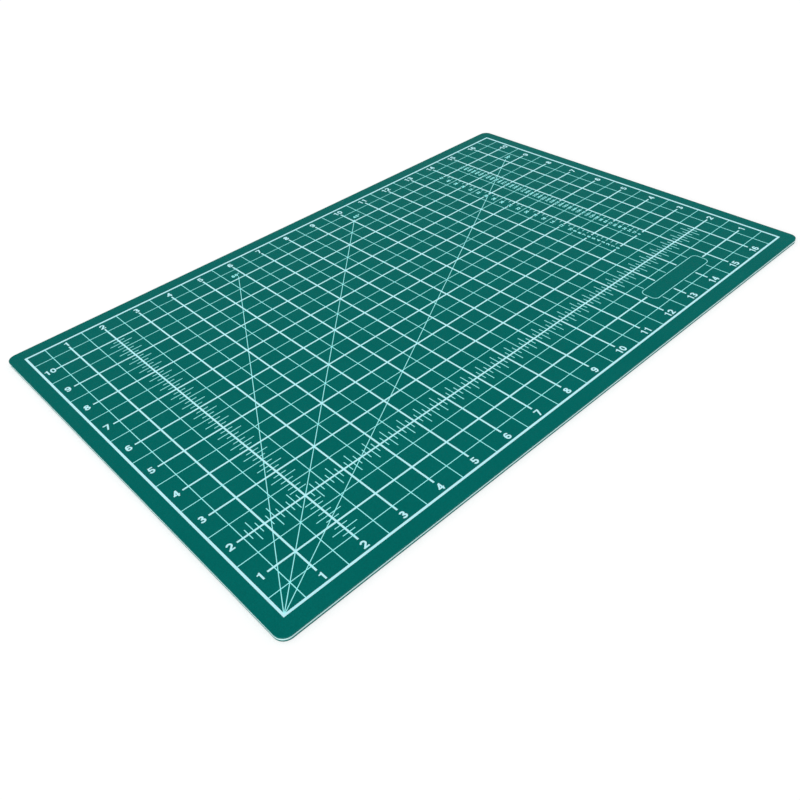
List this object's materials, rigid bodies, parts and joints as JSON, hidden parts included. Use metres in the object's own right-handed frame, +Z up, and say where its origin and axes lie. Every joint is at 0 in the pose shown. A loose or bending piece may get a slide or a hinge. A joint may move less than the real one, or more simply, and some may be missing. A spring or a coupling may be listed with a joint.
{
  "type": "cutting mat",
  "caption": "Flat laminated craft cutting mat with rounded corners and a white inch grid, tick rulers and angle lines printed on its top face.",
  "frame": {"origin": "middle of the underside, on the surface that the mat lies on", "axes": "+X along the mat's length, +Y across its width towards the back row of numbers, +Z up through the plies"},
  "size_m": [0.45, 0.3, 0.003],
  "materials": {
    "green_ply": "fine matte grain",
    "pale_core": "die-cut edge",
    "white_ink": "screen-printed ink"
  },
  "bodies": {
    "root": {"bottom_ply": "green_ply", "core_ply": "pale_core", "top_ply": "green_ply", "frame_line": "white_ink", "inch_lines_along": "white_ink", "inch_lines_across": "white_ink", "half_inch_lines_along": "white_ink", "half_inch_lines_across": "white_ink", "length_ruler_quarter_ticks": "white_ink", "length_ruler_eighth_ticks": "white_ink", "width_ruler_quarter_ticks": "white_ink", "width_ruler_eighth_ticks": "white_ink", "diagonal_angle_line": "white_ink", "shallow_angle_line": "white_ink", "steep_angle_line": "white_ink"}
  },
  "joints": []
}
